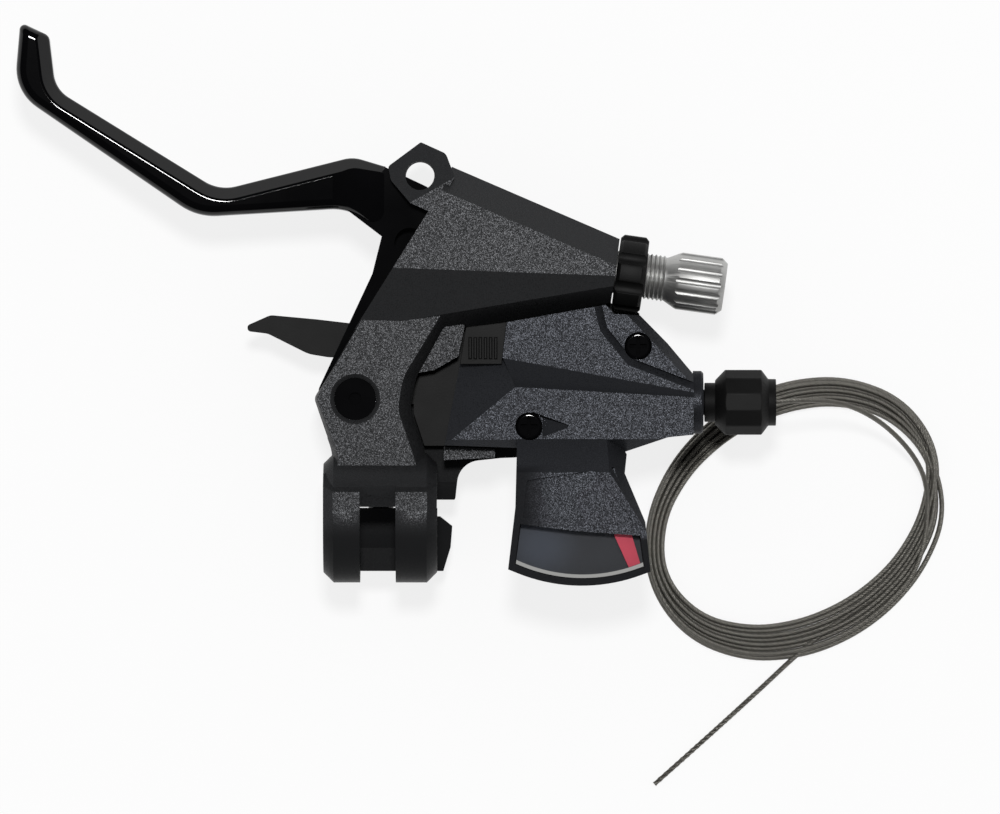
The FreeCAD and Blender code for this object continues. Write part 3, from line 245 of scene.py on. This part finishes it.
def make_flake_group():
    """Metallic flakes: each small cell has its own tilt, and some are bright."""
    group = bpy.data.node_groups.new("metal_flakes", "ShaderNodeTree")
    for name in ("Scale", "Share", "Tilt"):
        group_socket(group, name, "Float", "INPUT")
    group_socket(group, "Glint", "Float", "OUTPUT")
    group_socket(group, "Normal", "Vector", "OUTPUT")
    nodes = group.nodes
    links = group.links
    inlet = nodes.new("NodeGroupInput")
    outlet = nodes.new("NodeGroupOutput")
    cells = nodes.new("ShaderNodeTexVoronoi")
    links.new(object_place(nodes), cells.inputs["Vector"])
    links.new(inlet.outputs["Scale"], cells.inputs["Scale"])
    parts = nodes.new("ShaderNodeSeparateColor")
    links.new(cells.outputs["Color"], parts.inputs["Color"])
    bright = math_node(nodes, links, "LESS_THAN", parts.outputs["Red"], inlet.outputs["Share"])
    level = math_node(nodes, links, "MULTIPLY", bright, parts.outputs["Green"])
    links.new(level, outlet.inputs["Glint"])
    centred = vector_node(nodes, links, "SUBTRACT", cells.outputs["Color"], (0.5, 0.5, 0.5))
    tilt = scaled(nodes, links, centred.outputs[0], inlet.outputs["Tilt"])
    surface = nodes.new("ShaderNodeNewGeometry")
    total = vector_node(nodes, links, "ADD", surface.outputs["Normal"], tilt)
    unit = nodes.new("ShaderNodeVectorMath")
    unit.operation = "NORMALIZE"
    links.new(total.outputs[0], unit.inputs[0])
    links.new(unit.outputs[0], outlet.inputs["Normal"])
    return group


def make_grain_group():
    """Fine unevenness: a value that wanders over the surface and a finer height."""
    group = bpy.data.node_groups.new("fine_grain", "ShaderNodeTree")
    group_socket(group, "Patch scale", "Float", "INPUT").default_value = 120.0
    group_socket(group, "Grain scale", "Float", "INPUT").default_value = 2500.0
    group_socket(group, "Patch", "Float", "OUTPUT")
    group_socket(group, "Height", "Float", "OUTPUT")
    nodes = group.nodes
    links = group.links
    inlet = nodes.new("NodeGroupInput")
    outlet = nodes.new("NodeGroupOutput")
    for source, target in (("Patch scale", "Patch"), ("Grain scale", "Height")):
        noise = nodes.new("ShaderNodeTexNoise")
        noise.inputs["Detail"].default_value = 3.0
        links.new(object_place(nodes), noise.inputs["Vector"])
        links.new(inlet.outputs[source], noise.inputs["Scale"])
        links.new(noise.outputs[0], outlet.inputs[target])
    return group


FLAKES = make_flake_group()
GRAIN = make_grain_group()


def new_finish(name):
    """A material with its nodes, links and principled shader."""
    finish = bpy.data.materials.new(name)
    finish.use_nodes = True
    nodes = finish.node_tree.nodes
    return finish, nodes, finish.node_tree.links, nodes["Principled BSDF"]


def add_group(nodes, group, **values):
    node = nodes.new("ShaderNodeGroup")
    node.node_tree = group
    for name, value in values.items():
        node.inputs[name.replace("_", " ")].default_value = value
    return node


def colour_mix(nodes, links, factor, low, high):
    mix = nodes.new("ShaderNodeMix")
    mix.data_type = "RGBA"
    mix.inputs["A"].default_value = low + (1.0,)
    mix.inputs["B"].default_value = high + (1.0,)
    links.new(factor, mix.inputs["Factor"])
    return mix.outputs["Result"]


def value_range(nodes, links, value, low, high):
    span = nodes.new("ShaderNodeMapRange")
    span.inputs["To Min"].default_value = low
    span.inputs["To Max"].default_value = high
    links.new(value, span.inputs["Value"])
    return span.outputs[0]


def bump(nodes, links, height, distance, strength):
    node = nodes.new("ShaderNodeBump")
    node.inputs["Distance"].default_value = distance
    node.inputs["Strength"].default_value = strength
    links.new(height, node.inputs["Height"])
    return node.outputs["Normal"]


def rise(nodes, links, value, start, end):
    """A smooth step of a value, from 0 at the start to 1 at the end."""
    span = nodes.new("ShaderNodeMapRange")
    span.interpolation_type = "SMOOTHSTEP"
    span.inputs["From Min"].default_value = start
    span.inputs["From Max"].default_value = end
    links.new(value, span.inputs["Value"])
    return span.outputs[0]


def along_axis(nodes, links, axis, start, end):
    """0 before the start and 1 after the end of a stretch along an axis."""
    parts = nodes.new("ShaderNodeSeparateXYZ")
    links.new(object_place(nodes), parts.inputs[0])
    return rise(nodes, links, parts.outputs[axis], start, end)


def away_from(nodes, links, centre, start, end):
    """0 nearer than the start and 1 past the end, by the distance in plan from a centre."""
    flat = vector_node(nodes, links, "MULTIPLY", object_place(nodes), (1, 1, 0))
    reach = vector_node(nodes, links, "DISTANCE", flat.outputs[0], centre)
    return rise(nodes, links, reach.outputs["Value"], start, end)


def outside_cover_painted_shade(nodes, links):
    """1 where the cover's paint has flakes and full colour; 0 on the display's left side and the lens's rim,
    which are painted shade.
    """
    main = along_axis(nodes, links, "Y", *PAINTED_SHADE_END_FRONT)
    side = along_axis(nodes, links, "X", *PAINTED_SHADE_END_SIDE)
    before = along_axis(nodes, links, "Y", *PAINTED_SHADE_END_LENS)
    return math_node(nodes, links, "MAXIMUM", main, math_node(nodes, links, "MULTIPLY", side, before))


def outside_bracket_painted_shade(nodes, links):
    """1 where the bracket's paint has flakes and full colour; 0 on its shelf and the clamp's floor and rear,
    which are painted shade.
    """
    raised = along_axis(nodes, links, "Z", *PAINTED_SHADE_END_RAISED)
    return math_node(nodes, links, "MULTIPLY", raised, along_axis(nodes, links, "Y", *PAINTED_SHADE_END_CLAMP))


def flaked_paint(name, base, fleck, unshaded_part):
    """Charcoal paint with metallic flakes on a part of the surface; off that part it is painted shade,
    without flakes and darker.
    """
    finish, nodes, links, shader = new_finish(name)
    flakes = add_group(nodes, FLAKES, Scale=FLAKE_SCALE, Share=FLAKE_SHARE, Tilt=FLAKE_TILT)
    grain = add_group(nodes, GRAIN)
    # Off the part, the flakes go and the colour drops to a share of itself: painted shade.
    share = unshaded_part(nodes, links)
    glint = math_node(nodes, links, "MULTIPLY", flakes.outputs["Glint"], share)
    painted_shade = value_range(nodes, links, share, PAINTED_SHADE_SHARE, 1.0)
    colour = scaled(nodes, links, colour_mix(nodes, links, glint, base, fleck), painted_shade)
    links.new(colour, shader.inputs["Base Color"])
    rough = value_range(nodes, links, grain.outputs["Patch"], *PAINT_ROUGHNESS)
    links.new(rough, shader.inputs["Roughness"])
    links.new(flakes.outputs["Normal"], shader.inputs["Normal"])
    links.new(glint, shader.inputs["Metallic"])
    shader.inputs["Specular IOR Level"].default_value = PAINT_SPECULAR
    shader.inputs["Specular Tint"].default_value = PAINT_TINT
    return finish


def gloss_black(name):
    """Polished black lacquer, almost without a colour of its own."""
    finish, nodes, links, shader = new_finish(name)
    grain = add_group(nodes, GRAIN, Patch_scale=60.0, Grain_scale=900.0)
    colour = colour_mix(nodes, links, grain.outputs["Patch"], (0.001, 0.001, 0.0012), (0.0025, 0.0025, 0.003))
    links.new(colour, shader.inputs["Base Color"])
    links.new(value_range(nodes, links, grain.outputs["Patch"], 0.05, 0.1), shader.inputs["Roughness"])
    links.new(bump(nodes, links, grain.outputs["Height"], 0.02 * MM, 0.12), shader.inputs["Normal"])
    shader.inputs["Specular IOR Level"].default_value = 0.25
    shader.inputs["Coat Weight"].default_value = 0.15
    shader.inputs["Coat Roughness"].default_value = 0.03
    return finish


def satin_plastic(name, low, high, smooth, rough):
    """Plain moulded or coated surface between two shades, with a fine grain."""
    finish, nodes, links, shader = new_finish(name)
    grain = add_group(nodes, GRAIN, Patch_scale=150.0, Grain_scale=4000.0)
    links.new(colour_mix(nodes, links, grain.outputs["Patch"], low, high), shader.inputs["Base Color"])
    links.new(value_range(nodes, links, grain.outputs["Patch"], smooth, rough), shader.inputs["Roughness"])
    links.new(bump(nodes, links, grain.outputs["Height"], 0.04 * MM, 0.6), shader.inputs["Normal"])
    shader.inputs["Specular IOR Level"].default_value = 0.16
    return finish


def bare_metal(name, low, high, smooth, rough):
    """Uncoated metal between two shades, with fine marks."""
    finish, nodes, links, shader = new_finish(name)
    grain = add_group(nodes, GRAIN, Patch_scale=400.0, Grain_scale=3000.0)
    links.new(colour_mix(nodes, links, grain.outputs["Patch"], low, high), shader.inputs["Base Color"])
    links.new(value_range(nodes, links, grain.outputs["Height"], smooth, rough), shader.inputs["Roughness"])
    links.new(bump(nodes, links, grain.outputs["Height"], 0.03 * MM, 0.5), shader.inputs["Normal"])
    shader.inputs["Metallic"].default_value = 1.0
    return finish


def smoky_lens():
    """Thin smoked plastic: most of the light goes through, but a band along its rear edge is pale and opaque.
    """
    finish, nodes, links, shader = new_finish("smoke_lens")
    start = LENS_ARC_RADIUS - LENS_EDGE
    edge = away_from(nodes, links, LENS_ARC_CENTRE, start, start + LENS_EDGE_BLUR)
    colour = colour_mix(nodes, links, edge, (0.02, 0.022, 0.027), (0.36, 0.36, 0.35))
    links.new(colour, shader.inputs["Base Color"])
    links.new(value_range(nodes, links, edge, LENS_ALPHA, 1.0), shader.inputs["Alpha"])
    shader.inputs["Specular IOR Level"].default_value = 0.9
    grain = add_group(nodes, GRAIN, Patch_scale=80.0)
    links.new(value_range(nodes, links, grain.outputs["Patch"], 0.04, 0.1), shader.inputs["Roughness"])
    return finish


def dial_face():
    """Dark dial, with a painted reflection: paler and bluer toward its left end."""
    finish, nodes, links, shader = new_finish("dial_face")
    painted_reflection = away_from(nodes, links, PAINTED_REFLECTION_CENTRE, *PAINTED_REFLECTION_REACH)
    # Painted reflection: paler, bluer colour near the patch's centre.
    colour = colour_mix(nodes, links, painted_reflection, (0.082, 0.094, 0.12), (0.052, 0.055, 0.062))
    links.new(colour, shader.inputs["Base Color"])
    grain = add_group(nodes, GRAIN)
    links.new(value_range(nodes, links, grain.outputs["Patch"], 0.45, 0.55), shader.inputs["Roughness"])
    shader.inputs["Specular IOR Level"].default_value = 0.16
    return finish


# Plain finishes: two shades, then the roughness from smooth to rough
SATIN_FINISHES = {
    "black_plastic": ((0.003, 0.003, 0.003), (0.006, 0.006, 0.006), 0.48, 0.58),
    "pad_rubber": ((0.01, 0.01, 0.01), (0.018, 0.018, 0.018), 0.6, 0.8),
    "lever_steel": ((0.008, 0.008, 0.009), (0.016, 0.016, 0.017), 0.3, 0.42),
    "drum_plastic": ((0.08, 0.08, 0.08), (0.12, 0.12, 0.12), 0.45, 0.6),
    "white_nylon": ((0.7, 0.69, 0.65), (0.78, 0.77, 0.73), 0.4, 0.55),
    "needle_red": ((0.8, 0.07, 0.12), (0.9, 0.11, 0.17), 0.35, 0.5),
}
METAL_FINISHES = {
    "zinc_steel": ((0.5, 0.5, 0.5), (0.62, 0.62, 0.61), 0.25, 0.4),
    "silver_alloy": ((0.45, 0.45, 0.44), (0.56, 0.56, 0.55), 0.42, 0.55),
    "spring_steel": ((0.35, 0.35, 0.35), (0.45, 0.45, 0.45), 0.25, 0.4),
    "cable_steel": ((0.17, 0.162, 0.145), (0.25, 0.242, 0.217), 0.45, 0.6),
}

# Flaked paints: the base's colour, the flakes' colour and the part of the surface that has flakes; off that
# part the paint is painted shade
PAINTS = {
    "bracket_paint": ((0.0222, 0.0227, 0.0238), (0.046, 0.047, 0.0495), outside_bracket_painted_shade),
    "cover_paint": ((0.0188, 0.0197, 0.0224), (0.0435, 0.046, 0.0525), outside_cover_painted_shade),
}


def make_finishes():
    """Every finish, by the name of its slot."""
    finishes = {"dial_face": dial_face(), "smoke_lens": smoky_lens()}
    for name in ("blade_black", "dark_steel"):
        finishes[name] = gloss_black(name)
    kinds = ((flaked_paint, PAINTS), (satin_plastic, SATIN_FINISHES), (bare_metal, METAL_FINISHES))
    for make, table in kinds:
        for name, values in table.items():
            finishes[name] = make(name, *values)
    return finishes


FINISHES = make_finishes()


def paint_solids():
    """Gives every solid the finish of its slot."""
    for row in frame["record"]["subparts"]:
        solid = frame["nodes"][row["node"]]
        solid.data.materials.clear()
        solid.data.materials.append(FINISHES[row["material_slot"]])


def soften_edges(node, width, limit):
    """Rounds the hard edges of a solid a little, so that they catch the light."""
    solid = frame["nodes"][node]
    weld = solid.modifiers.new("weld", "WELD")
    weld.merge_threshold = WELD_REACH
    flat = solid.modifiers.new("flat", "DECIMATE")
    flat.decimate_type = "DISSOLVE"
    flat.angle_limit = FLAT_WITHIN
    edge = solid.modifiers.new("edge", "BEVEL")
    edge.width = width * MM
    edge.segments = EDGE_SEGMENTS
    edge.limit_method = "ANGLE"
    edge.angle_limit = math.radians(limit)


# Shift cable


def on_coil(turn_angle, lane):
    """A point in the coil's band, at an angle and from the outer lane 0 to the inner lane 1."""
    wire = CABLE_RADIUS / MM
    points = []
    for oval, inward in ((COIL_OUTER, wire), (COIL_INNER, -wire)):
        x, y, half_length, half_width, turn = oval
        a = half_length - inward
        b = half_width - inward
        own = turn_angle - math.radians(turn)
        radius = a * b / math.hypot(b * math.cos(own), a * math.sin(own))
        points.append(Vector((x + radius * math.cos(turn_angle), y + radius * math.sin(turn_angle))))
    return points[0].lerp(points[1], lane)


def smooth_step(value):
    value = min(max(value, 0.0), 1.0)
    return value * value * (3 - 2 * value)


def coil_route():
    """The turns of the coil, clockwise from above: the first ones lie on top of the last."""
    turns = len(COIL_LANES)
    steps = int((turns + COIL_OVERRUN) * COIL_POINTS)
    widen = 1 / math.cos(math.pi / COIL_POINTS)
    middle = Vector(COIL_MIDDLE)
    points = []
    for i in range(1, steps + 1):
        done = i / COIL_POINTS
        turn = min(int(done), turns - 1)
        share = smooth_step((done - turn - CHANGE_FROM) / CHANGE_SHARE) if turn < turns - 1 else 0
        after = COIL_LANES[min(turn + 1, turns - 1)]
        lane = COIL_LANES[turn] * (1 - share) + after * share
        at = on_coil(COIL_START - 2 * math.pi * done, lane)
        at = middle + (at - middle) * widen
        layer = UPPER_LAYER if turn < turns / 2 else 0.0
        crossing = math.sin(math.pi * share) * (CROSSING_BASE + CROSSING_STEP * (turns - turn))
        points.append((at.x, at.y, REST_Z / MM + layer + crossing))
    return points


def cable_route():
    """The cable's line, from the knob through the coil to its bare end."""
    route = LEAD + coil_route() + TAIL
    curve = bpy.data.curves.new("cable_route", "CURVE")
    curve.dimensions = "3D"
    curve.resolution_u = CABLE_STEPS
    spline = curve.splines.new("NURBS")
    spline.points.add(len(route) - 1)
    for point, at in zip(spline.points, route):
        point.co = (at[0] * MM, at[1] * MM, at[2] * MM, 1.0)
    spline.order_u = 3
    spline.use_endpoint_u = True
    holder = link(bpy.data.objects.new("cable_route", curve))
    bpy.context.view_layer.update()
    mesh = bpy.data.meshes.new_from_object(holder)
    points = [v.co.copy() for v in mesh.vertices]
    bpy.data.meshes.remove(mesh)
    bpy.data.objects.remove(holder)
    return points


def stranded_cable():
    """A twisted tube with one lobe for each strand, along the cable's line."""
    points = cable_route()
    sides = 2 * CABLE_LOBES
    vertices = []
    faces = []
    side = Vector((0, 0, 1))
    travelled = 0.0
    for i, at in enumerate(points):
        before = points[max(i - 1, 0)]
        after = points[min(i + 1, len(points) - 1)]
        along = (after - before).normalized()
        side = (side - along * side.dot(along)).normalized()
        other = along.cross(side)
        travelled += (at - before).length
        twist = 2 * math.pi * travelled / CABLE_LAY
        for k in range(sides):
            angle = 2 * math.pi * k / sides + twist
            radius = CABLE_RADIUS * (LOBE_CREST if k % 2 else LOBE_ROOT)
            vertices.append(at + (side * math.cos(angle) + other * math.sin(angle)) * radius)
    for i in range(len(points) - 1):
        for k in range(sides):
            a = i * sides + k
            b = i * sides + (k + 1) % sides
            faces.append((a, b, b + sides, a + sides))
    faces.append(tuple(reversed(range(sides))))
    faces.append(tuple(range(len(vertices) - sides, len(vertices))))
    mesh = bpy.data.meshes.new("shift_cable")
    mesh.from_pydata(vertices, [], faces)
    mesh.materials.append(FINISHES["cable_steel"])
    piece = link(bpy.data.objects.new("shift_cable", mesh))
    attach(piece, "bracket")
    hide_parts("shift_cable_lead", "shift_cable_coil", "shift_cable_tail")


# Brake adjuster


def along_adjuster():
    """The matrix that takes a piece made along X to the brake adjuster's axis."""
    return Matrix.Translation(ADJUSTER_AT) @ Matrix.Rotation(ADJUSTER_SLOPE, 4, "Z")


def barrel_thread():
    """The thread's crests between the lock ring and the ribbed barrel."""
    shape = bmesh.new()
    flank = [(-THREAD_HALF, THREAD_ROOT), (0.0, THREAD_CREST), (THREAD_HALF, THREAD_ROOT)]
    corners = [shape.verts.new((THREAD_FROM + x, THREAD_RADIUS + y, 0)) for x, y in flank]
    edges = [shape.edges.new((corners[0], corners[1])), shape.edges.new((corners[1], corners[2]))]
    steps = int((THREAD_TO - THREAD_FROM) / THREAD_PITCH * THREAD_STEPS)
    bmesh.ops.spin(shape, geom=corners + edges, cent=(0, 0, 0), axis=(1, 0, 0), steps=steps,
                   dvec=(THREAD_PITCH / THREAD_STEPS, 0, 0), angle=2 * math.pi * steps / THREAD_STEPS)
    bmesh.ops.recalc_face_normals(shape, faces=shape.faces)
    bmesh.ops.transform(shape, matrix=along_adjuster(), verts=shape.verts)
    piece = mesh_piece("barrel_thread", shape, FINISHES["silver_alloy"], "barrel")


# Black skirt in the seams, partly painted shade


def seam_shade_skirt():
    """Black skirt that closes the seams to the bracket and to the lock ring: partly the lower cover's edge,
    partly a dark sheet put as painted shade in the seams.
    """
    shape = bmesh.new()
    for outline in SKIRTS:
        corners = [shape.verts.new((x * MM, y * MM, SKIRT_FROM * MM)) for x, y in outline]
        grown = bmesh.ops.extrude_face_region(shape, geom=[shape.faces.new(corners)])
        raised = [piece for piece in grown["geom"] if isinstance(piece, bmesh.types.BMVert)]
        bmesh.ops.translate(shape, vec=(0, 0, (SKIRT_TO - SKIRT_FROM) * MM), verts=raised)
    bmesh.ops.recalc_face_normals(shape, faces=shape.faces)
    piece = mesh_piece("seam_shade_skirt", shape, FINISHES["black_plastic"], "bracket")


# Studio


def seen_directly(nodes, links):
    """1 for rays from the camera and from glossy or clear surfaces, 0 for the rest."""
    path = nodes.new("ShaderNodeLightPath")
    seen = path.outputs["Is Camera Ray"]
    for name in ("Is Glossy Ray", "Is Transmission Ray"):
        seen = math_node(nodes, links, "MAXIMUM", seen, path.outputs[name])
    return seen


def table_top():
    """White table, which glows where it is seen and keeps the levers' shadow."""
    shape = bmesh.new()
    bmesh.ops.create_grid(shape, x_segments=1, y_segments=1, size=TABLE_HALF)
    bmesh.ops.translate(shape, vec=(0, 0, TABLE_Z - TABLE_DROP), verts=shape.verts)
    mesh = bpy.data.meshes.new("table_top")
    shape.to_mesh(mesh)
    shape.free()
    table = link(bpy.data.objects.new("table_top", mesh))
    finish, nodes, links, shader = new_finish("pale_table")
    grain = add_group(nodes, GRAIN, Patch_scale=6.0, Grain_scale=300.0)
    colour = colour_mix(nodes, links, grain.outputs["Patch"], (0.94, 0.94, 0.94), (0.96, 0.96, 0.96))
    links.new(colour, shader.inputs["Base Color"])
    shader.inputs["Roughness"].default_value = TABLE_ROUGHNESS
    glow = nodes.new("ShaderNodeEmission")
    blend = nodes.new("ShaderNodeMixShader")
    share = math_node(nodes, links, "MULTIPLY", seen_directly(nodes, links), TABLE_GLOW)
    links.new(share, blend.inputs[0])
    links.new(shader.outputs[0], blend.inputs[1])
    links.new(glow.outputs[0], blend.inputs[2])
    links.new(blend.outputs[0], nodes["Material Output"].inputs["Surface"])
    table.data.materials.append(finish)


def round_light():
    """Even light from all round. Gloss mirrors a dome instead, dark overhead."""
    world = bpy.data.worlds.new("studio")
    bpy.context.scene.world = world
    world.use_nodes = True
    nodes = world.node_tree.nodes
    links = world.node_tree.links
    way = nodes.new("ShaderNodeTexCoord")
    height = nodes.new("ShaderNodeSeparateXYZ")
    links.new(way.outputs["Generated"], height.inputs[0])
    dome = nodes.new("ShaderNodeValToRGB")
    stops = ((DOME_WHITE_TO, DOME_WHITE), (DOME_DARK_FROM, DOME_DARK))
    for stop, (position, colour) in zip(dome.color_ramp.elements, stops):
        stop.position = position
        stop.color = colour
    links.new(height.outputs["Z"], dome.inputs[0])
    mix = nodes.new("ShaderNodeMix")
    mix.data_type = "RGBA"
    mix.inputs["A"].default_value = ROUND_LIGHT
    links.new(seen_directly(nodes, links), mix.inputs["Factor"])
    links.new(dome.outputs[0], mix.inputs["B"])
    links.new(mix.outputs["Result"], nodes["Background"].inputs["Color"])


def front_lamp():
    """Round softbox, tilted forward of the camera."""
    lamp = bpy.data.lights.new("front_softbox", "AREA")
    lamp.shape = "DISK"
    lamp.size = LAMP_SIZE
    lamp.energy = LAMP_POWER
    holder = link(bpy.data.objects.new("front_softbox", lamp))
    aim = Matrix.Rotation(LAMP_TILT, 4, "X")
    middle = Vector((PICTURE_CENTRE[0], PICTURE_CENTRE[1], 0))
    holder.matrix_world = Matrix.Translation(middle) @ aim.inverted() @ Matrix.Translation((0, 0, LAMP_REACH))


def picture_camera():
    """Long lens straight above, framed as in the picture."""
    data = bpy.data.cameras.new("picture")
    data.sensor_fit = "HORIZONTAL"
    data.sensor_width = SENSOR
    data.lens = SENSOR * CAMERA_HEIGHT / PICTURE_WIDTH
    data.clip_end = CAMERA_SIGHT
    camera = link(bpy.data.objects.new("picture", data))
    camera.location = (PICTURE_CENTRE[0], PICTURE_CENTRE[1], CAMERA_HEIGHT)
    bpy.context.scene.camera = camera


bpy.context.scene.view_settings.view_transform = "Standard"
paint_solids()
for node, (width, limit) in SOFT_EDGES.items():
    soften_edges(node, width, limit)
stranded_cable()
barrel_thread()
seam_shade_skirt()
table_top()
round_light()
front_lamp()
picture_camera()
